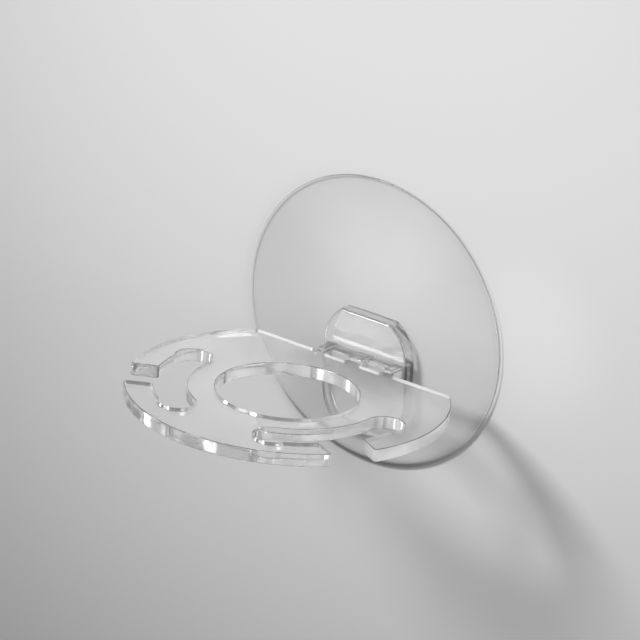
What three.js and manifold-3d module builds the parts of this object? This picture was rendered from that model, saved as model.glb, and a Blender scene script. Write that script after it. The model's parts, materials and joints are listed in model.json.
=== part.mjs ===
// Clear wall toothbrush holder: a rack plate that plugs into a boss on a self-adhesive disc.
// Millimetres, +Z up. The wall is the plane y = 0 and the holder stands out towards -Y.
// The origin is the centre of the adhesive's wall face.

import * as THREE from "three";
import { mergeVertices } from "three/addons/utils/BufferGeometryUtils.js";
import Module from "manifold-3d";

const wasm = await Module();
wasm.setup();

// Disc
const DISC_DIAMETER = 75;
const FILM_THICKNESS = 0.6;
const ADHESIVE_THICKNESS = 0.4;
const ADHESIVE_INSET = 0.8; // how far the adhesive stops short of the film's edge

// Boss
const BOSS_WIDTH = 25.2;
const BOSS_HEIGHT = 31.6;
const BOSS_DEPTH = 3.2;
const BOSS_FLAT = 15; // length of the straight top and bottom edges
const BOSS_DROP = 13.4; // centre of the boss below the centre of the disc
const BOSS_ROUND = 0.8; // of the edge round the front face

// Rack plate, from the centre hole outwards
const HOLE_DIAMETER = 35;
const RING_WIDTH = 6.7; // between the centre hole and a brush slot
const SLOT_WIDTH = 8.2; // passes a brush's neck and stops its head
const FINGER_WIDTH = 7; // rim outside a brush slot
const BACK_WIDTH = 9.15; // between the centre hole and the straight back edge
const PLATE_THICKNESS = 3.3;
const PLATE_CHAMFER = 0.25;
const PLATE_TILT = 3.8; // degrees by which the front stands up
const PLATE_RISE = 5.1; // top of the plate above the centre of the boss, at the boss's face
const NECK_LENGTH = 4.5; // from the boss's face to the straight back edge

// Brush slots: an arc with a round pocket at each end, open to the rim at its middle
const SLOT_SPAN = 61.6; // degrees between the centres of the pockets
const SLOT_FORWARD = 29.6; // degrees from the side of the plate to the middle of a slot
const POCKET_SHOULDER = 1; // by which a pocket is wider than the slot
const ENTRY_WIDTH = 11.1; // between the finger tips
const FINGER_ROUND = 0.8; // corners of the finger tips beside the entry

// Tongue and socket
const SOCKET_WALL = 1.1; // left of the boss at each end of the socket
const SOCKET_DEPTH = 2.5;
const SOCKET_CLEARANCE = 0.3;
const TONGUE_FLARE = 1.6; // fillet from the tongue to the back edge
const RIB_HEIGHT = 0.75;
const RIB_RAMP = 0.5; // slope at the front end of a rib
const CENTRE_RIB_WIDTH = 3.8;
const SIDE_RIB_WIDTH = 2.6;
const BAR_WIDTH = 1.95; // cross bar between the boss's face and the windows
const WINDOW_LENGTH = 3.1; // along the tongue
const WINDOW_ROUND = 0.5;

// Clear plastics
const PLATE_LOOK = { color: 0xf2f4f5, roughness: 0.05, opacity: 0.35 };
const BOSS_LOOK = { color: 0xeef0f1, roughness: 0.08, opacity: 0.35 };
const FILM_LOOK = { color: 0xdfe1e2, roughness: 0.2, opacity: 0.4 };
const ADHESIVE_LOOK = { color: 0xe9ebec, roughness: 0.45, opacity: 0.4 };

// Fineness of round stretches
const ARC_TOLERANCE = 0.02; // most that a chord leaves its arc
const MERGE_DISTANCE = 1e-4;

// Worked out from the sizes above
const SLOT_INNER = HOLE_DIAMETER / 2 + RING_WIDTH;
const SLOT_OUTER = SLOT_INNER + SLOT_WIDTH;
const PLATE_RADIUS = SLOT_OUTER + FINGER_WIDTH;
const BACK_OFFSET = HOLE_DIAMETER / 2 + BACK_WIDTH; // plate's centre to its straight back edge
const PLATE_CENTRE = -NECK_LENGTH - BACK_OFFSET;
const TONGUE_HALF = BOSS_WIDTH / 2 - SOCKET_WALL - SOCKET_CLEARANCE;
const TONGUE_DEPTH = SOCKET_DEPTH - SOCKET_CLEARANCE;
const FILM_FRONT = -ADHESIVE_THICKNESS - FILM_THICKNESS;

const radians = THREE.MathUtils.degToRad;

function arcSteps(radius, sweep) {
  const step = 2 * Math.acos(1 - ARC_TOLERANCE / radius);
  return Math.max(2, Math.ceil(Math.abs(sweep) / step));
}

// Points on an arc, both ends included
function arc(x, y, radius, start, end) {
  const steps = arcSteps(radius, end - start);
  const points = [];
  for (let i = 0; i <= steps; i++) {
    const angle = start + ((end - start) * i) / steps;
    points.push(new THREE.Vector2(x + radius * Math.cos(angle), y + radius * Math.sin(angle)));
  }
  return points;
}

function solidOf(geometry) {
  const bare = geometry.clone();
  bare.deleteAttribute("normal");
  bare.deleteAttribute("uv");
  const merged = mergeVertices(bare, MERGE_DISTANCE);
  const mesh = new wasm.Mesh({
    numProp: 3,
    vertProperties: merged.attributes.position.array,
    triVerts: new Uint32Array(merged.index.array),
  });
  return new wasm.Manifold(mesh);
}

function geometryOf(solid) {
  const mesh = solid.getMesh();
  const geometry = new THREE.BufferGeometry();
  geometry.setAttribute("position", new THREE.BufferAttribute(mesh.vertProperties, mesh.numProp));
  geometry.setIndex(new THREE.BufferAttribute(mesh.triVerts, 1));
  geometry.computeVertexNormals();
  return geometry;
}

// Extrusion along +Z from 0 to height, with the same edge round both ends: a chamfer where steps is 1
function edgedPrism(shape, height, edge, steps) {
  const geometry = new THREE.ExtrudeGeometry(shape, {
    depth: height - 2 * edge,
    bevelThickness: edge,
    bevelSize: edge,
    bevelOffset: -edge,
    bevelSegments: steps,
  });
  return geometry.translate(0, 0, edge);
}

// Round layer of the disc, with its back face at y = 0
function discLayer(diameter, thickness) {
  const geometry = new THREE.CylinderGeometry(
    diameter / 2,
    diameter / 2,
    thickness,
    arcSteps(diameter / 2, 2 * Math.PI),
  );
  return geometry.translate(0, -thickness / 2, 0);
}

// Front outline of the boss: round sides cut off flat at the top and the bottom
function bossOutline() {
  const radius = BOSS_WIDTH / 2;
  const flatAngle = Math.acos(BOSS_FLAT / 2 / radius);
  const arcCentre = BOSS_HEIGHT / 2 - radius * Math.sin(flatAngle);
  const points = [
    ...arc(0, arcCentre, radius, 0, flatAngle),
    ...arc(0, arcCentre, radius, Math.PI - flatAngle, Math.PI),
    ...arc(0, -arcCentre, radius, Math.PI, Math.PI + flatAngle),
    ...arc(0, -arcCentre, radius, -flatAngle, 0),
  ];
  return new THREE.Shape(points);
}

// Socket in the plate's own frame: the room of the tongue and its ribs, and the clearance
function socketBox() {
  const height = PLATE_THICKNESS + RIB_HEIGHT + 2 * SOCKET_CLEARANCE;
  const run = SOCKET_DEPTH + NECK_LENGTH;
  const box = new THREE.BoxGeometry(2 * (TONGUE_HALF + SOCKET_CLEARANCE), run, height);
  return box.translate(0, SOCKET_DEPTH - run / 2, (RIB_HEIGHT - PLATE_THICKNESS) / 2);
}

function bossGeometry(plateMatrix) {
  const steps = arcSteps(BOSS_ROUND, Math.PI / 2);
  const block = edgedPrism(bossOutline(), BOSS_DEPTH + BOSS_ROUND, BOSS_ROUND, steps);
  block.translate(0, 0, -BOSS_ROUND).rotateX(Math.PI / 2);
  // The rounding behind the film's face comes off, so the back edge is square.
  const behind = new THREE.BoxGeometry(2 * BOSS_WIDTH, 2 * BOSS_DEPTH, 2 * BOSS_HEIGHT);
  behind.translate(0, BOSS_DEPTH, 0);
  const socket = socketBox().applyMatrix4(plateMatrix);
  return geometryOf(solidOf(block).subtract(solidOf(behind)).subtract(solidOf(socket)));
}

// One brush slot, met going round the rim anticlockwise: in by the entry, round the arc and out again
function slotOutline(axis) {
  const half = radians(SLOT_SPAN) / 2;
  const start = axis - half;
  const end = axis + half;
  const quarter = Math.PI / 2;
  const at = (radius, angle) => [radius * Math.cos(angle), PLATE_CENTRE + radius * Math.sin(angle)];
  // The corners of a finger tip touch the entry's side and the rim, or that side and the slot's wall.
  const round = FINGER_ROUND;
  const side = ENTRY_WIDTH / 2 + round;
  const rimLean = Math.asin(side / (PLATE_RADIUS - round));
  const wallLean = Math.asin(side / (SLOT_OUTER + round));
  const nearRim = axis - rimLean;
  const nearWall = axis - wallLean;
  const farRim = axis + rimLean;
  const farWall = axis + wallLean;
  // A pocket touches the slot's inner wall and breaks through its outer wall in a shoulder.
  const pocket = (SLOT_WIDTH + POCKET_SHOULDER) / 2;
  const reach = SLOT_INNER + pocket;
  const bend = Math.acos((reach ** 2 + pocket ** 2 - SLOT_OUTER ** 2) / (2 * reach * pocket));
  const shoulder = Math.PI - bend;
  const wallStep = Math.asin((pocket * Math.sin(bend)) / SLOT_OUTER);
  return [
    ...arc(...at(PLATE_RADIUS - round, nearRim), round, nearRim, axis + quarter),
    ...arc(...at(SLOT_OUTER + round, nearWall), round, axis + quarter, nearWall + Math.PI),
    ...arc(0, PLATE_CENTRE, SLOT_OUTER, nearWall, start + wallStep),
    ...arc(...at(reach, start), pocket, start + shoulder, start - Math.PI),
    ...arc(0, PLATE_CENTRE, SLOT_INNER, start, end),
    ...arc(...at(reach, end), pocket, end - Math.PI, end - 2 * Math.PI - shoulder),
    ...arc(0, PLATE_CENTRE, SLOT_OUTER, end - wallStep, farWall),
    ...arc(...at(SLOT_OUTER + round, farWall), round, farWall - Math.PI, axis - quarter),
    ...arc(...at(PLATE_RADIUS - round, farRim), round, axis - quarter, farRim),
  ];
}

// Points that follow each other closer than the merge distance count once
function distinct(points) {
  return points.filter((point, i) => point.distanceTo(points.at(i - 1)) > MERGE_DISTANCE);
}

function plateShape() {
  const left = slotOutline(Math.PI + radians(SLOT_FORWARD));
  const right = slotOutline(2 * Math.PI - radians(SLOT_FORWARD));
  const corner = Math.asin(BACK_OFFSET / PLATE_RADIUS);
  const rimTo = (from, to) => arc(0, PLATE_CENTRE, PLATE_RADIUS, from, to);
  const angleOf = (point) => Math.atan2(point.y - PLATE_CENTRE, point.x);
  const turn = 2 * Math.PI;
  const flareX = TONGUE_HALF + TONGUE_FLARE;
  const flareY = TONGUE_FLARE - NECK_LENGTH;
  const points = [
    new THREE.Vector2(TONGUE_HALF, TONGUE_DEPTH),
    new THREE.Vector2(-TONGUE_HALF, TONGUE_DEPTH),
    ...arc(-flareX, flareY, TONGUE_FLARE, 0, -Math.PI / 2),
    ...rimTo(Math.PI - corner, turn + angleOf(left[0])),
    ...left,
    ...rimTo(turn + angleOf(left.at(-1)), turn + angleOf(right[0])),
    ...right,
    ...rimTo(angleOf(right.at(-1)), corner),
    ...arc(flareX, flareY, TONGUE_FLARE, -Math.PI / 2, -Math.PI),
  ];
  const shape = new THREE.Shape(distinct(points));
  shape.holes.push(new THREE.Path(arc(0, PLATE_CENTRE, HOLE_DIAMETER / 2, 0, turn).slice(1)));
  shape.holes.push(windowPath(1), windowPath(-1));
  return shape;
}

// Window between the centre rib and a side rib; side is 1 on the right and -1 on the left
function windowPath(side) {
  const inner = CENTRE_RIB_WIDTH / 2 + WINDOW_ROUND;
  const outer = TONGUE_HALF - SIDE_RIB_WIDTH - WINDOW_ROUND;
  const back = -BAR_WIDTH - WINDOW_ROUND;
  const front = -BAR_WIDTH - WINDOW_LENGTH + WINDOW_ROUND;
  const middle = (side * (inner + outer)) / 2;
  const half = (outer - inner) / 2;
  const quarter = Math.PI / 2;
  return new THREE.Path([
    ...arc(middle + half, back, WINDOW_ROUND, 0, quarter),
    ...arc(middle - half, back, WINDOW_ROUND, quarter, 2 * quarter),
    ...arc(middle - half, front, WINDOW_ROUND, 2 * quarter, 3 * quarter),
    ...arc(middle + half, front, WINDOW_ROUND, 3 * quarter, 4 * quarter),
  ]);
}

// Low rib along the tongue, centred on x, with a ramp at its front end and its root sunk in the tongue
function ribGeometry(x, width) {
  const root = -PLATE_THICKNESS / 2;
  const side = new THREE.Shape([
    new THREE.Vector2(-NECK_LENGTH, root),
    new THREE.Vector2(TONGUE_DEPTH - PLATE_CHAMFER, root),
    new THREE.Vector2(TONGUE_DEPTH - PLATE_CHAMFER, RIB_HEIGHT - PLATE_CHAMFER),
    new THREE.Vector2(TONGUE_DEPTH - 2 * PLATE_CHAMFER, RIB_HEIGHT),
    new THREE.Vector2(RIB_RAMP - NECK_LENGTH, RIB_HEIGHT),
    new THREE.Vector2(-NECK_LENGTH, 0),
  ]);
  const geometry = new THREE.ExtrudeGeometry(side, { depth: width, bevelEnabled: false });
  geometry.rotateY(Math.PI / 2).rotateX(Math.PI / 2);
  return geometry.translate(x - width / 2, 0, 0);
}

function plateGeometry() {
  const slab = edgedPrism(plateShape(), PLATE_THICKNESS, PLATE_CHAMFER, 1);
  slab.translate(0, 0, -PLATE_THICKNESS);
  const sideRib = TONGUE_HALF - SIDE_RIB_WIDTH / 2 - PLATE_CHAMFER;
  return geometryOf(
    solidOf(slab)
      .add(solidOf(ribGeometry(0, CENTRE_RIB_WIDTH)))
      .add(solidOf(ribGeometry(sideRib, SIDE_RIB_WIDTH - 2 * PLATE_CHAMFER)))
      .add(solidOf(ribGeometry(-sideRib, SIDE_RIB_WIDTH - 2 * PLATE_CHAMFER))),
  );
}

function piece(name, geometry, look) {
  const material = new THREE.MeshStandardMaterial({ ...look, transparent: true });
  const mesh = new THREE.Mesh(geometry, material);
  mesh.name = name;
  return mesh;
}

const holder = new THREE.Group();

const adhesiveDiameter = DISC_DIAMETER - 2 * ADHESIVE_INSET;
holder.add(piece("adhesive_pad", discLayer(adhesiveDiameter, ADHESIVE_THICKNESS), ADHESIVE_LOOK));

const film = piece("film_disc", discLayer(DISC_DIAMETER, FILM_THICKNESS), FILM_LOOK);
film.position.y = -ADHESIVE_THICKNESS;
holder.add(film);

const bossGroup = new THREE.Group();
bossGroup.position.set(0, FILM_FRONT, -BOSS_DROP);
holder.add(bossGroup);

// The plate's frame stands on the boss's face, at the height of the plate's top, tilted with the socket.
const plateGroup = new THREE.Group();
plateGroup.position.set(0, -BOSS_DEPTH, PLATE_RISE);
plateGroup.rotation.x = -radians(PLATE_TILT);
plateGroup.updateMatrix();
plateGroup.add(piece("rack_plate", plateGeometry(), PLATE_LOOK));

bossGroup.add(piece("mount_boss", bossGeometry(plateGroup.matrix), BOSS_LOOK));
bossGroup.add(plateGroup);

export default holder;
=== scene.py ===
"""Clear wall toothbrush holder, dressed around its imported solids.

A rack plate plugs into a boss on a self-adhesive disc. All of it is clear moulded plastic.
The wall is the plane y = 0, the holder stands out towards -Y, and +Z is up. Metres.
"""

import json
import math

import bpy
from bpy.props import FloatProperty, FloatVectorProperty, PointerProperty
from mathutils import Matrix, Vector


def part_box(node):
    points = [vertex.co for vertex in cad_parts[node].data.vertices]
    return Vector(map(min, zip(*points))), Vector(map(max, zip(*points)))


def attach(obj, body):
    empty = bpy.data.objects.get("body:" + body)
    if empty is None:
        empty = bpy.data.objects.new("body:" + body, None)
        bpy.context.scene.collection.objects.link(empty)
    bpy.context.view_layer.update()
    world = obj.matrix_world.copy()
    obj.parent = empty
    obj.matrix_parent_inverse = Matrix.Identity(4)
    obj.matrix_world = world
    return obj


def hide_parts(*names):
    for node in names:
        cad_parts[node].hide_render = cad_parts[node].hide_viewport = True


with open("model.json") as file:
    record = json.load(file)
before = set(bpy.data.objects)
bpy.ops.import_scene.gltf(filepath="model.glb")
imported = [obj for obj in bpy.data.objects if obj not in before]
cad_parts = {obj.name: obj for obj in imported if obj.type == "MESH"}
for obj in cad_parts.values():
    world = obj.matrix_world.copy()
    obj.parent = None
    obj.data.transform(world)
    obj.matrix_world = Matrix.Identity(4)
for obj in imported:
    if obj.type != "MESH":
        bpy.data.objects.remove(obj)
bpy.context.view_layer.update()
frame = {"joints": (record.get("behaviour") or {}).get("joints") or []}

bl_info = {
    "name": "Clear Toothbrush Holder",
    "version": (1, 0, 0),
    "blender": (4, 5, 0),
    "location": "View3D > Sidebar > Holder",
    "description": "Models a clear wall toothbrush holder piece by piece",
    "category": "Add Mesh",
}

MM = 0.001

# Where the solids are.
ADHESIVE_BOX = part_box("adhesive_pad")
FILM_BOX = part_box("film_disc")
BOSS_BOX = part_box("mount_boss")
PULL_AXIS = Vector(frame["joints"][0]["axis"]).normalized()
INTO_WALL = Vector((0, 1, 0))

# How finely the pieces are modelled.
SEAM = 0.02 * MM * INTO_WALL  # keeps the faces of neighbours apart, so that both can be seen
CHORD_ERROR = 0.004 * MM  # most that a chord leaves its arc
MERGE_DISTANCE = 0.002 * MM
ROUND_SIDES = 256
EDGE_STEPS = 3
CORNER_STEPS = 6
SMOOTH_ANGLE = math.radians(40)

# Clear plastic.
FACE_SLOPE, WALL_SLOPE = 0.95, 0.35  # cosines with the piece's axis where faces end and walls start
EDGE_GAIN = 7  # how sharply the rounded edges stand out
BACK_EDGE = (0.1, 0.4)  # cosines with the wall's direction between which an edge turns to the back
# Painted shade: the near-black tone of rounded edges that face the wall.
BACK_EDGE_PAINTED_SHADE = 0.02
CLOUD_RANGE = (0.1, 0.9)
CLOUD_SHADE = 0.94  # of the tint, in the darkest cloud
HAZE_SCALE = 260.0
ROUGH_SPREAD, FACE_SPREAD, WALL_SPREAD = 0.3, 0.4, 0.2  # by which patterns vary a value
CAUGHT_AFTER = 3.5  # inner reflections after which a ray is let out

# Camera, for a square picture.
IMAGE_SIZE = 640
FOCAL_PIXELS = 6621.736
SENSOR = 36
CAMERA_TURNS = (35.672, 24.458, 2.548)  # azimuth, elevation and roll in degrees
CAMERA_TARGET = Vector((0, -15 * MM, 0))
CAMERA_SHIFT = (-4.792 * MM, 4.616 * MM)  # of the target, to the right and up
CAMERA_DISTANCE = 1599.91 * MM

# Wall.
WALL_SIZE = 4
WALL_GAP = 0.03 * MM
WALL_SHADE = 0.985  # of the paint, in the darkest grain
# Painted pool of light: the wall's colour is brightest about a point above the holder and darker all round.
POOL_CENTRE, POOL_RADIUS, POOL_POWER, POOL_FLOOR = (0, 0, 100 * MM), 238 * MM, 2.9, 0.42
# Painted caustic: a soft patch of the wall right of the disc painted brighter, for light mirrored off the
# plate.
PAINTED_CAUSTIC_CENTRE, PAINTED_CAUSTIC_REACH, PAINTED_CAUSTIC_LEVEL = (46 * MM, 0, 9 * MM), (5 * MM, 28 * MM), 1.085

# Lights: heights and levels of the sky, then directions, distances, sizes and watts of the lamps.
SKY = ((0, 0.25), (0.4, 0.3), (0.6, 0.34), (1, 0.52))
LAMP_AIM = Vector((0, -20 * MM, 0))
LAMPS = (
    ("key", (-0.448, -0.668, 0.594), 2.2, 0.6, 37.0),
    ("fill", (0.93, -0.25, 0.2), 1.6, 1.0, 14.0),
)
GLINTS = (
    ("low_front", (-0.26, -0.915, -0.305), 1.5, 0.25, 2.5),
    ("low_left", (-0.9, -0.27, -0.34), 1.5, 0.25, 2.5),
    ("low_card", (-0.537, -0.739, -0.407), 1.5, 0.5, 0.49),
)
FLAGS = ((84, 22), (60, 24), (30, 34), (5, 12), (-60, 20))  # azimuths and widths in degrees
FLAG_REACH, FLAG_HEIGHT, FLAG_SLOPE, FLAG_LEVEL = 1.2, 0.96, -0.45, 0.02


def length(name, description, default):
    """A size in metres that shows in the scene's own units."""
    return FloatProperty(name=name, description=description, default=default, min=0, unit="LENGTH")


def angle(name, description, degrees):
    """An angle, given in degrees and held in radians."""
    return FloatProperty(name=name, description=description, default=math.radians(degrees), unit="ROTATION")


def colour(name, description, default):
    """A linear colour."""
    return FloatVectorProperty(
        name=name, description=description, default=default, size=3, min=0, max=1, subtype="COLOR"
    )


class HolderSizes(bpy.types.PropertyGroup):
    """Sizes of the holder's pieces."""

    adhesive_edge: length("Adhesive edge", "Rounding of the adhesive's front edge", 0.08 * MM)
    film_edge: length("Film edge", "Rounding of the film's front edge", 0.2 * MM)
    boss_flat: length("Boss flat", "Straight top and bottom edges of the boss", 15 * MM)
    boss_round: length("Boss round", "Rounding of the edge round the boss's face", 0.8 * MM)
    plate_thickness: length("Plate thickness", "Thickness of the rack plate", 3.3 * MM)
    plate_edge: length("Plate edge", "Rounding of the rack plate's edges", 0.28 * MM)
    plate_rise: length("Plate rise", "Top of the plate above the boss's centre", 5.1 * MM)
    neck: length("Neck", "From the boss's face to the plate's straight back edge", 4.5 * MM)
    hole: length("Centre hole", "Diameter of the hole in the middle of the plate", 35 * MM)
    ring: length("Ring width", "Between the centre hole and a brush slot", 6.7 * MM)
    slot: length("Slot width", "Width of a brush slot", 8.2 * MM)
    finger: length("Finger width", "Rim outside a brush slot", 7 * MM)
    back: length("Back width", "Between the centre hole and the straight back edge", 9.15 * MM)
    slot_span: angle("Slot span", "Between the centres of a slot's pockets", 61.6)
    slot_forward: angle("Slot forward", "From the plate's side to the middle of a slot", 29.6)
    shoulder: length("Pocket shoulder", "By which a pocket is wider than its slot", 1 * MM)
    entry: length("Entry width", "Between the finger tips", 11.1 * MM)
    tip_round: length("Tip round", "Corners of the finger tips", 0.8 * MM)
    socket_wall: length("Socket wall", "Left of the boss at each end of the socket", 1.1 * MM)
    socket_depth: length("Socket depth", "Depth of the boss's socket", 2.5 * MM)
    clearance: length("Clearance", "Between the tongue and the socket", 0.3 * MM)
    flare: length("Tongue flare", "Fillet from the tongue to the back edge", 1.6 * MM)
    rib_height: length("Rib height", "Height of the ribs on the tongue", 0.75 * MM)
    rib_ramp: length("Rib ramp", "Slope at the front end of a rib", 0.5 * MM)
    rib_edge: length("Rib edge", "Rounding of the ribs' edges", 0.22 * MM)
    centre_rib: length("Centre rib", "Width of the middle rib", 3.8 * MM)
    side_rib: length("Side rib", "Width of the outer ribs", 2.6 * MM)
    bar: length("Cross bar", "Between the boss's face and the windows", 1.95 * MM)
    window: length("Window length", "Length of the windows along the tongue", 3.1 * MM)
    window_round: length("Window round", "Corners of the windows", 0.5 * MM)


class HolderColours(bpy.types.PropertyGroup):
    """Colours of the plastics and of the stage."""

    plate: colour("Plate", "Clear plastic of the rack plate", (0.986, 0.986, 0.988))
    boss: colour("Boss", "Clear plastic of the boss", (0.978, 0.978, 0.98))
    film: colour("Film", "Clear film of the disc", (0.94, 0.94, 0.942))
    adhesive: colour("Adhesive", "Clear gel behind the film", (0.985, 0.985, 0.985))
    wall: colour("Wall", "Painted wall", (0.76, 0.76, 0.76))
    world: colour("Surroundings", "Light from all round", (1, 1, 1))


def start_piece():
    """Leaves nothing selected, in object mode."""
    if bpy.context.object and bpy.context.object.mode != "OBJECT":
        bpy.ops.object.mode_set(mode="OBJECT")
    bpy.ops.object.select_all(action="DESELECT")


def named(name):
    """The active object, given a name for itself and its mesh."""
    piece = bpy.context.object
    piece.name = name
    piece.data.name = name
    return piece


def apply_modifier(piece, kind, **settings):
    """Adds a modifier with these settings and applies it."""
    bpy.context.view_layer.objects.active = piece
    modifier = piece.modifiers.new(kind.lower(), kind)
    for key, value in settings.items():
        setattr(modifier, key, value)
    bpy.ops.object.modifier_apply(modifier=modifier.name)


def cut(piece, cutter, operation="DIFFERENCE"):
    """Cuts one piece by another, or joins it on, and removes the tool."""
    apply_modifier(piece, "BOOLEAN", object=cutter, operation=operation, solver="EXACT")
    mesh = cutter.data
    bpy.data.objects.remove(cutter)
    bpy.data.meshes.remove(mesh)


def arc_steps(radius, sweep):
    """Steps that keep an arc's chords within a few microns of it."""
    step = 2 * math.acos(1 - CHORD_ERROR / radius)
    return max(4, math.ceil(abs(sweep) / step))


def trace(start, path):
    """Draws a point along lines by extruding it and round arcs by spinning it, and fills the outline."""
    start_piece()
    bpy.ops.mesh.primitive_plane_add(size=MM, location=(*start, 0))
    bpy.ops.object.transform_apply(location=True, rotation=True, scale=True)
    bpy.ops.object.mode_set(mode="EDIT")
    bpy.ops.mesh.select_mode(type="VERT")
    bpy.ops.mesh.select_all(action="SELECT")
    bpy.ops.mesh.merge(type="CENTER")
    at = Vector(start)
    for kind, point, sweep in path:
        if kind == "line":
            step = Vector(point) - at
            bpy.ops.mesh.extrude_vertices_move(TRANSFORM_OT_translate={"value": (*step, 0)})
            at = Vector(point)
        else:
            centre = Vector(point)
            bpy.ops.mesh.spin(
                steps=arc_steps((at - centre).length, sweep),
                angle=-sweep,
                center=(*centre, 0),
                axis=(0, 0, 1),
            )
            at = centre + Matrix.Rotation(sweep, 2) @ (at - centre)
    bpy.ops.mesh.select_all(action="SELECT")
    bpy.ops.mesh.remove_doubles(threshold=MERGE_DISTANCE)
    bpy.ops.mesh.edge_face_add()
    return bpy.context.object


def thicken(z):
    """Draws the filled outline that is being edited out along Z."""
    bpy.ops.mesh.select_all(action="SELECT")
    bpy.ops.mesh.extrude_region_move(TRANSFORM_OT_translate={"value": (0, 0, z)})
    bpy.ops.mesh.select_all(action="SELECT")
    bpy.ops.mesh.normals_make_consistent(inside=False)
    bpy.ops.object.mode_set(mode="OBJECT")


def block(low, high):
    """A cube drawn out to these corners."""
    start_piece()
    low, high = Vector(low), Vector(high)
    bpy.ops.mesh.primitive_cube_add(size=1, location=(low + high) / 2, scale=high - low)
    bpy.ops.object.transform_apply(location=True, rotation=True, scale=True)
    return bpy.context.object


def pick(piece, kind, test):
    """Opens a piece for editing with only the vertices or edges selected that pass a test."""
    bpy.context.view_layer.objects.active = piece
    bpy.ops.object.mode_set(mode="EDIT")
    bpy.ops.mesh.select_mode(type=kind)
    bpy.ops.mesh.select_all(action="DESELECT")
    bpy.ops.object.mode_set(mode="OBJECT")
    points = piece.data.vertices
    if kind == "VERT":
        for point in points:
            point.select = test(point.co)
    else:
        for edge in piece.data.edges:
            edge.select = test(*(points[end].co for end in edge.vertices))
    bpy.ops.object.mode_set(mode="EDIT")


def polar(centre, radius, angle):
    """The point at an angle on a circle."""
    return Vector((centre[0] + radius * math.cos(angle), centre[1] + radius * math.sin(angle)))


def place(piece, location, tilt):
    """Turns a piece about X, puts it in its place and leaves the place in its mesh."""
    piece.location = location
    piece.rotation_euler = (tilt, 0, 0)
    start_piece()
    piece.select_set(True)
    bpy.context.view_layer.objects.active = piece
    bpy.ops.object.transform_apply(location=True, rotation=True, scale=True)


def smooth(piece):
    """Shades round stretches smooth and keeps flat faces flat."""
    start_piece()
    piece.select_set(True)
    bpy.context.view_layer.objects.active = piece
    bpy.ops.object.shade_smooth_by_angle(angle=SMOOTH_ANGLE)
    apply_modifier(piece, "WEIGHTED_NORMAL", mode="FACE_AREA", weight=100, keep_sharp=True)


def node(tree, kind, **settings):
    """Adds a shader node; settings that name an input set it, and the rest set properties."""
    made = tree.nodes.new(kind)
    for key, value in settings.items():
        if key in made.inputs:
            made.inputs[key].default_value = value
        else:
            setattr(made, key, value)
    return made


def material(name):
    """A new node material without nodes."""
    made = bpy.data.materials.new(name)
    made.use_nodes = True
    made.node_tree.nodes.clear()
    return made, made.node_tree


def reckon(tree, operation, *values, clamp=False):
    """The result of one math node on sockets and plain numbers."""
    made = node(tree, "ShaderNodeMath", operation=operation, use_clamp=clamp)
    for socket, value in zip(made.inputs, values):
        if isinstance(value, bpy.types.NodeSocket):
            tree.links.new(value, socket)
        else:
            socket.default_value = value
    return made.outputs[0]


def rise(tree, value, start, end):
    """A factor that goes smoothly from 0 to 1 while a value goes from start to end."""
    made = node(tree, "ShaderNodeMapRange", interpolation_type="SMOOTHSTEP")
    made.inputs["From Min"].default_value = start
    made.inputs["From Max"].default_value = end
    tree.links.new(value, made.inputs["Value"])
    return made.outputs["Result"]


def blend(tree, factor, low, high):
    """A value that goes from low to high with a factor."""
    mapped = node(tree, "ShaderNodeMapRange")
    mapped.inputs["To Min"].default_value = low
    mapped.inputs["To Max"].default_value = high
    tree.links.new(factor, mapped.inputs["Value"])
    return mapped.outputs["Result"]


def mixed(tree, factor, low, high):
    """Goes from one value socket to another with a factor."""
    mix = node(tree, "ShaderNodeMix")
    tree.links.new(factor, mix.inputs["Factor"])
    tree.links.new(low, mix.inputs["A"])
    tree.links.new(high, mix.inputs["B"])
    return mix.outputs["Result"]


def tinted(tree, colour, factor, level, how="MIX"):
    """A colour that goes over to a grey with a factor, or is multiplied by it."""
    made = node(tree, "ShaderNodeMix", data_type="RGBA", blend_type=how)
    made.inputs["B"].default_value = (level, level, level, 1)
    tree.links.new(factor, made.inputs["Factor"])
    tree.links.new(colour, made.inputs["A"])
    return made.outputs["Result"]


def times(tree, colour, share):
    """A colour multiplied by a share."""
    made = node(tree, "ShaderNodeMix", data_type="RGBA", blend_type="MULTIPLY")
    made.inputs["Factor"].default_value = 1.0
    tree.links.new(colour, made.inputs["A"])
    tree.links.new(share, made.inputs["B"])
    return made.outputs["Result"]


def two_tone(tree, factor, tint, shade):
    """A tint that is darkened to a share of itself where a factor is 0."""
    made = node(tree, "ShaderNodeValToRGB")
    made.color_ramp.elements[0].color = (*(shade * part for part in tint), 1)
    made.color_ramp.elements[1].color = (*tint, 1)
    tree.links.new(factor, made.inputs["Fac"])
    return made.outputs["Color"]


def surface_mix(tree, factor, first, second):
    """Makes one shader go over to another with a factor, as the material's surface."""
    mix = node(tree, "ShaderNodeMixShader")
    tree.links.new(factor, mix.inputs["Fac"])
    tree.links.new(first.outputs["BSDF"], mix.inputs[1])
    tree.links.new(second.outputs["BSDF"], mix.inputs[2])
    out = node(tree, "ShaderNodeOutputMaterial")
    tree.links.new(mix.outputs["Shader"], out.inputs["Surface"])


def facing(tree, direction):
    """How far the surface faces a direction: 1 towards it and -1 away from it."""
    geometry = node(tree, "ShaderNodeNewGeometry")
    along = node(tree, "ShaderNodeVectorMath", operation="DOT_PRODUCT")
    along.inputs[1].default_value = direction
    tree.links.new(geometry.outputs["Normal"], along.inputs[0])
    return along.outputs["Value"]


def distance(tree, position, centre):
    """How far the surface is from a point."""
    away = node(tree, "ShaderNodeVectorMath", operation="DISTANCE")
    away.inputs[1].default_value = centre
    tree.links.new(position, away.inputs[0])
    return away.outputs["Value"]


def rim_of(tree, position, centre, inner, outer):
    """A factor that goes from 0 to 1 between two distances from a point."""
    return rise(tree, distance(tree, position, centre), inner, outer)


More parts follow.
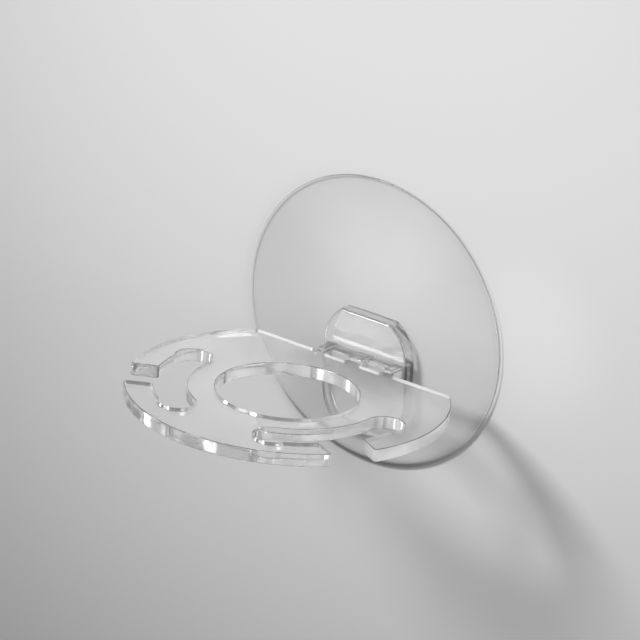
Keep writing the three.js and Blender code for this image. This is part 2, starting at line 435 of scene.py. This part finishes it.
def walls_of(tree, axis):
    """A factor that is 0 on faces square to an axis and 1 on the walls between them."""
    return rise(tree, reckon(tree, "ABSOLUTE", facing(tree, axis)), FACE_SLOPE, WALL_SLOPE)


def edges_of(tree, walls):
    """A factor that is 1 on the rounded edges between faces and walls."""
    both = reckon(tree, "MULTIPLY", walls, reckon(tree, "SUBTRACT", 1, walls))
    return reckon(tree, "MULTIPLY", both, EDGE_GAIN, clamp=True)


def spread(tree, pattern, value, share):
    """A value that a pattern varies by a share of it either way."""
    return blend(tree, pattern, (1 - share) * value, (1 + share) * value)


def clearness(tree, pattern, milk, share):
    """How clear plastic is whose milkiness a pattern varies by a share of it."""
    return blend(tree, pattern, 1 - (1 - share) * milk, 1 - (1 + share) * milk)


def clear_plastic(
    name,
    tint,
    wall,
    edge,
    axis,
    milk,
    roughness,
    passes,
    rim,
    cloud,
    ior=1.49,
    painted_glow_gates=(),
    bonded=False,
    shade_rim=None,
    painted_rim_shade=1,
):
    """Clear plastic with cloudy faces, milky walls and edges darkened as painted shade, which lamps shine
    through.

    tint, wall and edge are the tones of the faces, which are square to axis, of the walls between
    them and of the rounded edges; dark wall and edge tones are painted shade for the dark lines that
    edges of clear plastic show, and edges that face the wall are painted near black and lose their
    gloss. milk is how milky the middle and the rim of the faces are, and the walls. roughness is for
    faces and walls, and so is each of passes, the shares of a lamp's light that go through the middle
    and the rim. rim is a point and the distances from it between which the middle goes over to the
    rim, and shade_rim is the same for passes alone. Each gate is such a point and two distances, with
    the milkiness of faces and walls that they lead to; this milk paints glow and highlights. cloud is
    the scale of the clouds, and the painted rim shade multiplies the tint at the rim, darkening it.
    Plastic that is bonded has no back to see.
    """
    made, tree = material(name)
    link = tree.links.new
    position = node(tree, "ShaderNodeTexCoord").outputs["Object"]
    ripple = node(tree, "ShaderNodeTexNoise", Scale=cloud, Detail=3.0, Roughness=0.5)
    haze = node(tree, "ShaderNodeTexNoise", Scale=HAZE_SCALE, Detail=4.0, Roughness=0.6)
    link(position, ripple.inputs["Vector"])
    link(position, haze.inputs["Vector"])
    cloudy = rise(tree, ripple.outputs["Fac"], *CLOUD_RANGE)
    hazy = haze.outputs["Fac"]
    bump = node(tree, "ShaderNodeBump", Strength=0.015, Distance=0.5 * MM)
    link(ripple.outputs["Fac"], bump.inputs["Height"])

    walls = walls_of(tree, axis)
    edges = edges_of(tree, walls)
    # Rounded edges that face the wall: painted near black and left without gloss, as painted shade.
    back_edges = reckon(tree, "MULTIPLY", edges, rise(tree, facing(tree, INTO_WALL), *BACK_EDGE))
    far = rim_of(tree, position, *rim)

    rough = mixed(tree, walls, *(spread(tree, hazy, value, ROUGH_SPREAD) for value in roughness))
    middle_milk, rim_milk, wall_milk = milk
    faces = mixed(
        tree,
        far,
        clearness(tree, cloudy, middle_milk, FACE_SPREAD),
        clearness(tree, cloudy, rim_milk, FACE_SPREAD),
    )
    sides = clearness(tree, hazy, wall_milk, WALL_SPREAD)
    # Painted glow: each gate makes a patch of faces and walls milkier, whitening it where edge glow and
    # highlights show.
    for point, near, distant, face_glow_milk, wall_glow_milk in painted_glow_gates:
        painted_glow = rim_of(tree, position, point, near, distant)
        faces = mixed(tree, painted_glow, faces, clearness(tree, cloudy, face_glow_milk, FACE_SPREAD))
        sides = mixed(tree, painted_glow, sides, clearness(tree, hazy, wall_glow_milk, WALL_SPREAD))

    colour = two_tone(tree, cloudy, tint, CLOUD_SHADE)
    # Painted shade: the tint is multiplied down towards the rim.
    colour = tinted(tree, colour, far, painted_rim_shade, "MULTIPLY")
    # Painted shade: walls and rounded edges go over to their own darker tones, and edges facing the wall to
    # near black.
    for factor, level in ((walls, wall), (edges, edge), (back_edges, BACK_EDGE_PAINTED_SHADE)):
        colour = tinted(tree, colour, factor, level)

    body = node(tree, "ShaderNodeBsdfPrincipled", IOR=ior)
    link(colour, body.inputs["Base Color"])
    link(rough, body.inputs["Roughness"])
    link(mixed(tree, walls, faces, sides), body.inputs["Transmission Weight"])
    link(bump.outputs["Normal"], body.inputs["Normal"])
    link(blend(tree, back_edges, 0.5, 0.0), body.inputs["Specular IOR Level"])
    shaded = rim_of(tree, position, *shade_rim) if shade_rim else far
    lit = mixed(tree, shaded, *(blend(tree, walls, *shares) for shares in passes))
    lamps_through(tree, body, lit, bonded)
    return made


def lamps_through(tree, body, lit, bonded):
    """Lets a share of the lamps' light through, and all of the rays that would be lost.

    Those are the rays that mirror off another piece, or that many inner reflections have caught.
    """
    path = node(tree, "ShaderNodeLightPath").outputs
    light = reckon(tree, "MAXIMUM", path["Is Shadow Ray"], path["Is Diffuse Ray"])
    outside = reckon(tree, "LESS_THAN", path["Transmission Depth"], 0.5)
    mirrored = reckon(tree, "MULTIPLY", path["Is Reflection Ray"], outside)
    caught = reckon(tree, "GREATER_THAN", path["Glossy Depth"], CAUGHT_AFTER)
    passes = reckon(tree, "MAXIMUM", light, reckon(tree, "MAXIMUM", mirrored, caught))
    if bonded:
        geometry = node(tree, "ShaderNodeNewGeometry")
        passes = reckon(tree, "MAXIMUM", passes, geometry.outputs["Backfacing"])
    share = reckon(tree, "MAXIMUM", lit, reckon(tree, "SUBTRACT", 1, light))
    through = node(tree, "ShaderNodeBsdfTransparent")
    tree.links.new(share, through.inputs["Color"])
    surface_mix(tree, passes, body, through)


def finish_piece(piece, body, cad_node, surface):
    """Gives a piece its material, its body and the node that it stands for."""
    piece.data.materials.clear()
    piece.data.materials.append(surface)
    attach(piece, body)
    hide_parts(cad_node)


def disc(name, low, high, edge):
    """A round layer against the wall, with its front edge rounded."""
    start_piece()
    radius = (high.x - low.x) / 2
    bpy.ops.mesh.primitive_cylinder_add(
        vertices=ROUND_SIDES,
        radius=radius,
        depth=high.y - low.y,
        location=(low + high) / 2,
        rotation=(math.pi / 2, 0, 0),
        end_fill_type="NGON",
    )
    bpy.ops.object.transform_apply(location=True, rotation=True, scale=True)
    piece = named(name)
    front = low.y + edge / 10
    pick(piece, "EDGE", lambda one, other: one.y < front and other.y < front)
    bpy.ops.mesh.bevel(offset=edge, segments=EDGE_STEPS, affect="EDGES")
    bpy.ops.object.mode_set(mode="OBJECT")
    smooth(piece)
    return piece


class HOLDER_OT_adhesive(bpy.types.Operator):
    """Add the clear gel layer that sticks to the wall"""

    bl_idname = "holder.adhesive"
    bl_label = "Adhesive"

    def execute(self, context):
        low, high = ADHESIVE_BOX
        piece = disc("adhesive_gel", low + SEAM, high, context.scene.holder_sizes.adhesive_edge)
        surface = clear_plastic(
            "adhesive_gel",
            context.scene.holder_colours.adhesive,
            wall=0.97,
            edge=0.95,
            axis=INTO_WALL,
            milk=(0.05, 0.05, 0.05),
            roughness=(0.02, 0.02),
            passes=((1, 1), (1, 1)),
            rim=((0, 0, 0), 0, 1),
            cloud=40.0,
            ior=1.05,
        )
        finish_piece(piece, "wall_mount", "adhesive_pad", surface)
        piece.visible_shadow = False
        return {"FINISHED"}


class HOLDER_OT_film(bpy.types.Operator):
    """Add the clear film disc"""

    bl_idname = "holder.film"
    bl_label = "Film disc"

    def execute(self, context):
        sizes = context.scene.holder_sizes
        piece = disc("film_sheet", *FILM_BOX, sizes.film_edge)
        surface = clear_plastic(
            "clear_film",
            context.scene.holder_colours.film,
            # Painted shade: the dark wall and edge tones draw the dark outline round the disc.
            wall=0.45,
            edge=0.25,
            axis=INTO_WALL,
            # The film is milky, and milkier in the middle, which paints the brighter haze of light round
            # the boss.
            milk=(0.2, 0.05, 0.2),
            roughness=(0.12, 0.2),
            passes=((0.97, 0.4), (0.0, 0.0)),
            shade_rim=((-0.6 * MM, 0, 2.6 * MM), 38.5 * MM, 39.3 * MM),
            rim=((4 * MM, 0, 12 * MM), 5 * MM, 38 * MM),
            cloud=28.0,
            bonded=True,
            # Painted shade: the tint darkens towards the rim, most of all at the bottom.
            painted_rim_shade=0.76,
        )
        finish_piece(piece, "wall_mount", "film_disc", surface)
        return {"FINISHED"}


class HOLDER_OT_boss(bpy.types.Operator):
    """Add the boss with the socket for the rack plate"""

    bl_idname = "holder.boss"
    bl_label = "Boss"

    def execute(self, context):
        sizes = context.scene.holder_sizes
        low, high = BOSS_BOX
        radius = (high.x - low.x) / 2
        depth = high.y - low.y - SEAM.y
        flat = math.acos(sizes.boss_flat / 2 / radius)
        middle = (high.z - low.z) / 2 - radius * math.sin(flat)
        top, bottom = (0, middle), (0, -middle)
        piece = trace(
            (radius, -middle),
            [
                ("line", (radius, middle), 0),
                ("arc", top, flat),
                ("line", polar(top, radius, math.pi - flat), 0),
                ("arc", top, flat),
                ("line", (-radius, -middle), 0),
                ("arc", bottom, flat),
                ("line", polar(bottom, radius, -flat), 0),
                ("arc", bottom, flat),
            ],
        )
        thicken(depth)
        named("boss_block")
        pick(piece, "EDGE", lambda one, other: min(one.z, other.z) > depth / 2)
        bpy.ops.mesh.bevel(offset=sizes.boss_round, segments=CORNER_STEPS, affect="EDGES")
        bpy.ops.object.mode_set(mode="OBJECT")
        place(piece, (0, high.y - SEAM.y, (low.z + high.z) / 2), math.pi / 2)
        half = radius - sizes.socket_wall
        gap = sizes.clearance
        socket = block(
            (-half, -sizes.neck, -sizes.plate_thickness - gap),
            (half, sizes.socket_depth, sizes.rib_height + gap),
        )
        place(socket, plate_origin(sizes), plate_tilt())
        cut(piece, socket)
        smooth(piece)
        surface = clear_plastic(
            "boss_plastic",
            context.scene.holder_colours.boss,
            wall=0.97,
            # Painted shade: the rounded edges take a darker tone.
            edge=0.5,
            axis=INTO_WALL,
            milk=(0.11, 0.12, 0.08),
            roughness=(0.02, 0.05),
            passes=((0.92, 0.8), (0.85, 0.05)),
            shade_rim=((-8 * MM, low.y / 2, high.z), 14 * MM, 19 * MM),
            rim=((0, low.y, high.z - 5 * MM), 5 * MM, 14 * MM),
            cloud=60.0,
        )
        finish_piece(piece, "wall_mount", "mount_boss", surface)
        return {"FINISHED"}


def plate_tilt():
    """The turn about X that lifts the plate's front, from the way it pulls out."""
    return -math.atan2(PULL_AXIS.z, -PULL_AXIS.y)


def plate_origin(sizes):
    """Where the plate's top meets the boss's face."""
    low, high = BOSS_BOX
    return Vector((0, low.y, (low.z + high.z) / 2 + sizes.plate_rise))


def slot_path(sizes, centre, axis):
    """One brush slot, met going round the rim anticlockwise, as trace takes it."""
    inner = sizes.hole / 2 + sizes.ring
    outer = inner + sizes.slot
    rim = outer + sizes.finger
    start, end = axis - sizes.slot_span / 2, axis + sizes.slot_span / 2
    quarter = math.pi / 2
    tip = sizes.tip_round
    side = sizes.entry / 2 + tip
    rim_lean = math.asin(side / (rim - tip))
    wall_lean = math.asin(side / (outer + tip))
    pocket = (sizes.slot + sizes.shoulder) / 2
    reach = inner + pocket
    bend = math.acos((reach**2 + pocket**2 - outer**2) / (2 * reach * pocket))
    shoulder = math.pi - bend
    wall_step = math.asin(pocket * math.sin(bend) / outer)
    near_rim = polar(centre, rim - tip, axis - rim_lean)
    near_wall = polar(centre, outer + tip, axis - wall_lean)
    far_rim = polar(centre, rim - tip, axis + rim_lean)
    far_wall = polar(centre, outer + tip, axis + wall_lean)
    across = Vector((-math.sin(axis), math.cos(axis))) * tip
    return [
        ("arc", near_rim, quarter + rim_lean),
        ("line", near_wall + across, 0),
        ("arc", near_wall, quarter - wall_lean),
        ("arc", centre, start + wall_step - axis + wall_lean),
        ("arc", polar(centre, reach, start), -math.pi - shoulder),
        ("arc", centre, end - start),
        ("arc", polar(centre, reach, end), -math.pi - shoulder),
        ("arc", centre, axis + wall_lean - end + wall_step),
        ("arc", far_wall, quarter - wall_lean),
        ("line", far_rim - across, 0),
        ("arc", far_rim, quarter + rim_lean),
    ]


class HOLDER_OT_rack(bpy.types.Operator):
    """Add the rack plate with its tongue, hole and brush slots"""

    bl_idname = "holder.rack"
    bl_label = "Rack plate"

    def execute(self, context):
        sizes = context.scene.holder_sizes
        inner = sizes.hole / 2 + sizes.ring
        outer = inner + sizes.slot
        rim = outer + sizes.finger
        back = sizes.hole / 2 + sizes.back
        centre = Vector((0, -sizes.neck - back))
        tongue = (BOSS_BOX[1].x - BOSS_BOX[0].x) / 2 - sizes.socket_wall - sizes.clearance
        depth = sizes.socket_depth - sizes.clearance
        flare = sizes.flare
        corner = math.asin(back / rim)
        tip = sizes.tip_round
        lean = math.asin((sizes.entry / 2 + tip) / (rim - tip))
        left = math.pi + sizes.slot_forward
        right = 2 * math.pi - sizes.slot_forward
        piece = trace(
            (tongue, depth),
            [
                ("line", (-tongue, depth), 0),
                ("line", (-tongue, flare - sizes.neck), 0),
                ("arc", (-tongue - flare, flare - sizes.neck), -math.pi / 2),
                ("line", polar(centre, rim, math.pi - corner), 0),
                ("arc", centre, left - lean - math.pi + corner),
                *slot_path(sizes, centre, left),
                ("arc", centre, right - left - 2 * lean),
                *slot_path(sizes, centre, right),
                ("arc", centre, 2 * math.pi + corner - right - lean),
                ("line", (tongue + flare, -sizes.neck), 0),
                ("arc", (tongue + flare, flare - sizes.neck), -math.pi / 2),
                ("line", (tongue, depth), 0),
            ],
        )
        thicken(-sizes.plate_thickness)
        named("rack")
        start_piece()
        bpy.ops.mesh.primitive_cylinder_add(
            vertices=ROUND_SIDES,
            radius=sizes.hole / 2,
            depth=4 * sizes.plate_thickness,
            location=(*centre, 0),
        )
        cut(piece, bpy.context.object)
        for side in (1, -1):
            cut(piece, self.window(sizes, tongue, side))
        apply_modifier(
            piece,
            "BEVEL",
            width=sizes.plate_edge,
            segments=EDGE_STEPS,
            limit_method="ANGLE",
            angle_limit=math.radians(35),
            use_clamp_overlap=True,
        )
        ribs = [(0, sizes.centre_rib)]
        for side in (1, -1):
            ribs.append((side * (tongue - sizes.side_rib / 2), sizes.side_rib - 2 * sizes.plate_edge))
        for x, width in ribs:
            cut(piece, self.rib(sizes, x, width, depth), "UNION")
        place(piece, plate_origin(sizes), plate_tilt())
        smooth(piece)
        flat = Matrix.Rotation(plate_tilt(), 3, "X") @ Vector((0, 0, 1))
        surface = clear_plastic(
            "rack_plastic",
            context.scene.holder_colours.plate,
            wall=0.98,
            # Painted shade: the rounded edges take a dark tone, drawing dark lines along them.
            edge=0.2,
            axis=flat,
            milk=(0.1, 0.1, 0.03),
            roughness=(0.01, 0.1),
            passes=((0.92, 0.3), (0.34, 0.0)),
            rim=((-10 * MM, -22 * MM, -8 * MM), 34 * MM, 46 * MM),
            cloud=70.0,
            # Painted glow and highlights: milkier patches at the right of the rim, round the tongue and at
            # the back right.
            painted_glow_gates=(
                ((-30 * MM, -60 * MM, -5 * MM), 44 * MM, 76 * MM, 0.12, 0.66),
                ((0, -8 * MM, -8 * MM), 18 * MM, 8 * MM, 0.12, 0.3),
                ((22 * MM, -28 * MM, -7 * MM), 28 * MM, 8 * MM, 0.2, 0.35),
            ),
        )
        finish_piece(piece, "rack", "rack_plate", surface)
        return {"FINISHED"}

    def window(self, sizes, tongue, side):
        """The cutter of one window in the tongue, with round corners."""
        inner = sizes.centre_rib / 2
        outer = tongue - sizes.side_rib
        y = -sizes.bar
        low = (side * inner if side > 0 else side * outer, y - sizes.window, -2 * sizes.plate_thickness)
        high = (side * outer if side > 0 else side * inner, y, sizes.plate_thickness)
        cutter = block(low, high)
        pick(cutter, "EDGE", lambda one, other: abs(one.z - other.z) > sizes.plate_thickness)
        bpy.ops.mesh.bevel(offset=sizes.window_round, segments=CORNER_STEPS, affect="EDGES")
        bpy.ops.object.mode_set(mode="OBJECT")
        return cutter

    def rib(self, sizes, x, width, depth):
        """One low rib along the tongue, with its front end sloped and its root in the tongue."""
        front = -sizes.neck
        end = depth - sizes.plate_edge
        piece = block(
            (x - width / 2, front, -sizes.plate_thickness / 2),
            (x + width / 2, end, sizes.rib_height),
        )
        pick(piece, "VERT", lambda point: point.y < front + sizes.plate_edge and point.z > 0)
        bpy.ops.transform.translate(value=(0, sizes.rib_ramp, 0))
        bpy.ops.object.mode_set(mode="OBJECT")
        apply_modifier(piece, "BEVEL", width=sizes.rib_edge, segments=EDGE_STEPS, limit_method="ANGLE")
        return piece


class HOLDER_OT_stage(bpy.types.Operator):
    """Add the wall, the lights and the camera"""

    bl_idname = "holder.stage"
    bl_label = "Stage"

    def execute(self, context):
        self.camera(context)
        self.wall(context)
        self.lights(context)
        return {"FINISHED"}

    def camera(self, context):
        """Looks from the right and above, with a long lens."""
        azimuth, elevation, roll = (math.radians(turn) for turn in CAMERA_TURNS)
        back = Vector(
            (
                math.sin(azimuth) * math.cos(elevation),
                -math.cos(azimuth) * math.cos(elevation),
                math.sin(elevation),
            )
        )
        right = Vector((math.cos(azimuth), math.sin(azimuth), 0))
        up = back.cross(right)
        aside, above = CAMERA_SHIFT
        target = CAMERA_TARGET + right * aside + up * above
        view_right = right * math.cos(roll) + up * math.sin(roll)
        view_up = up * math.cos(roll) - right * math.sin(roll)
        lens = bpy.data.cameras.new("camera")
        lens.sensor_width = SENSOR
        lens.lens = FOCAL_PIXELS / IMAGE_SIZE * SENSOR
        lens.clip_end = 20
        camera = bpy.data.objects.new("camera", lens)
        context.collection.objects.link(camera)
        turn = Matrix((view_right, view_up, back)).transposed()
        camera.matrix_world = Matrix.Translation(target + back * CAMERA_DISTANCE) @ turn.to_4x4()
        context.scene.camera = camera

    def wall(self, context):
        """A painted wall with a pool of light and a caustic painted in, which isn't there when seen from
        behind.
        """
        start_piece()
        bpy.ops.mesh.primitive_plane_add(
            size=WALL_SIZE, location=WALL_GAP * INTO_WALL, rotation=(math.pi / 2, 0, 0)
        )
        bpy.ops.object.transform_apply(location=True, rotation=True, scale=True)
        wall = named("wall")
        made, tree = material("wall_paint")
        position = node(tree, "ShaderNodeTexCoord").outputs["Object"]
        grain = node(tree, "ShaderNodeTexNoise", Scale=900.0, Detail=3.0)
        tree.links.new(position, grain.inputs["Vector"])
        tone = two_tone(tree, grain.outputs["Fac"], context.scene.holder_colours.wall, WALL_SHADE)
        tone = times(tree, tone, self.painted_light_pool(tree, position))
        # Painted caustic: the wall's colour is raised in a soft patch right of the disc.
        past = rim_of(tree, position, PAINTED_CAUSTIC_CENTRE, *PAINTED_CAUSTIC_REACH)
        tone = times(tree, tone, blend(tree, past, PAINTED_CAUSTIC_LEVEL, 1.0))
        paint = node(tree, "ShaderNodeBsdfDiffuse")
        tree.links.new(tone, paint.inputs["Color"])
        behind = node(tree, "ShaderNodeBsdfTransparent")
        geometry = node(tree, "ShaderNodeNewGeometry")
        surface_mix(tree, geometry.outputs["Backfacing"], paint, behind)
        wall.data.materials.append(made)

    def painted_light_pool(self, tree, position):
        """Painted light: a factor on the wall's colour, 1 above the holder and falling off all round."""
        share = reckon(tree, "DIVIDE", distance(tree, position, POOL_CENTRE), POOL_RADIUS)
        share = reckon(tree, "ADD", reckon(tree, "POWER", share, POOL_POWER), 1)
        return reckon(tree, "MAXIMUM", reckon(tree, "POWER", share, -1), POOL_FLOOR)

    def lights(self, context):
        """A soft sky, a key lamp, a fill lamp, glints for gloss and dark cards for edges."""
        world = bpy.data.worlds.new("surroundings")
        world.use_nodes = True
        tree = world.node_tree
        place_on = node(tree, "ShaderNodeTexCoord")
        axes = node(tree, "ShaderNodeSeparateXYZ")
        tree.links.new(place_on.outputs["Generated"], axes.inputs["Vector"])
        height = node(tree, "ShaderNodeMapRange")
        height.inputs["From Min"].default_value = -1
        tree.links.new(axes.outputs["Z"], height.inputs["Value"])
        shade = node(tree, "ShaderNodeValToRGB")
        ramp = shade.color_ramp
        tint = context.scene.holder_colours.world
        while len(ramp.elements) < len(SKY):
            ramp.elements.new(1)
        for stop, (position, level) in zip(ramp.elements, SKY):
            stop.position = position
            stop.color = (*(level * part for part in tint), 1)
        tree.links.new(height.outputs["Result"], shade.inputs["Fac"])
        sky = tree.nodes["Background"]
        tree.links.new(shade.outputs["Color"], sky.inputs["Color"])
        sky.inputs["Strength"].default_value = 1
        context.scene.world = world
        for settings in LAMPS:
            self.lamp(context, *settings)
        for settings in GLINTS:
            glint = self.lamp(context, *settings)
            glint.visible_diffuse = False
            glint.data.use_shadow = False
        for azimuth, width in FLAGS:
            self.flag(context, math.radians(azimuth), math.radians(width))

    def flag(self, context, azimuth, width):
        """A dark card low in front, which only mirrored light shows."""
        start_piece()
        bpy.ops.mesh.primitive_plane_add(size=1)
        card = named("dark_card")
        card.dimensions = (2 * FLAG_REACH * math.tan(width / 2), FLAG_HEIGHT, 0)
        direction = Vector((math.sin(azimuth), -math.cos(azimuth), FLAG_SLOPE))
        card.location = direction * FLAG_REACH
        card.rotation_euler = direction.to_track_quat("Z", "Y").to_euler()
        made, tree = material("dark_card")
        black = node(tree, "ShaderNodeBsdfDiffuse", Color=(FLAG_LEVEL, FLAG_LEVEL, FLAG_LEVEL, 1))
        straight = node(tree, "ShaderNodeBsdfTransparent")
        path = node(tree, "ShaderNodeLightPath")
        surface_mix(tree, path.outputs["Glossy Depth"], straight, black)
        card.data.materials.append(made)
        card.visible_camera = False
        card.visible_diffuse = False
        card.visible_shadow = False

    def lamp(self, context, name, direction, distance, size, power):
        """A round lamp that faces the holder."""
        towards = Vector(direction)
        light = bpy.data.lights.new(name, "AREA")
        light.shape = "DISK"
        light.size = size
        light.energy = power
        lamp = bpy.data.objects.new(name, light)
        context.collection.objects.link(lamp)
        lamp.location = LAMP_AIM + towards.normalized() * distance
        lamp.rotation_euler = towards.to_track_quat("Z", "Y").to_euler()
        return lamp


class HOLDER_PT_panel(bpy.types.Panel):
    """Lists the holder's pieces, sizes and colours."""

    bl_label = "Toothbrush Holder"
    bl_idname = "HOLDER_PT_panel"
    bl_space_type = "VIEW_3D"
    bl_region_type = "UI"
    bl_category = "Holder"

    def draw(self, context):
        layout = self.layout
        for piece in PIECES:
            layout.operator(piece.bl_idname)
        for group in (context.scene.holder_sizes, context.scene.holder_colours):
            box = layout.box()
            for name in group.__annotations__:
                box.prop(group, name)


PIECES = (HOLDER_OT_stage, HOLDER_OT_adhesive, HOLDER_OT_film, HOLDER_OT_boss, HOLDER_OT_rack)
CLASSES = (HolderSizes, HolderColours, *PIECES, HOLDER_PT_panel)


def register():
    for kind in CLASSES:
        bpy.utils.register_class(kind)
    bpy.types.Scene.holder_sizes = PointerProperty(type=HolderSizes)
    bpy.types.Scene.holder_colours = PointerProperty(type=HolderColours)


def unregister():
    del bpy.types.Scene.holder_colours
    del bpy.types.Scene.holder_sizes
    for kind in reversed(CLASSES):
        bpy.utils.unregister_class(kind)


def main():
    """Makes every piece in order."""
    register()
    bpy.context.scene.view_settings.view_transform = "Standard"
    bpy.ops.holder.stage()
    bpy.ops.holder.adhesive()
    bpy.ops.holder.film()
    bpy.ops.holder.boss()
    bpy.ops.holder.rack()
    start_piece()


if __name__ == "__main__":
    main()
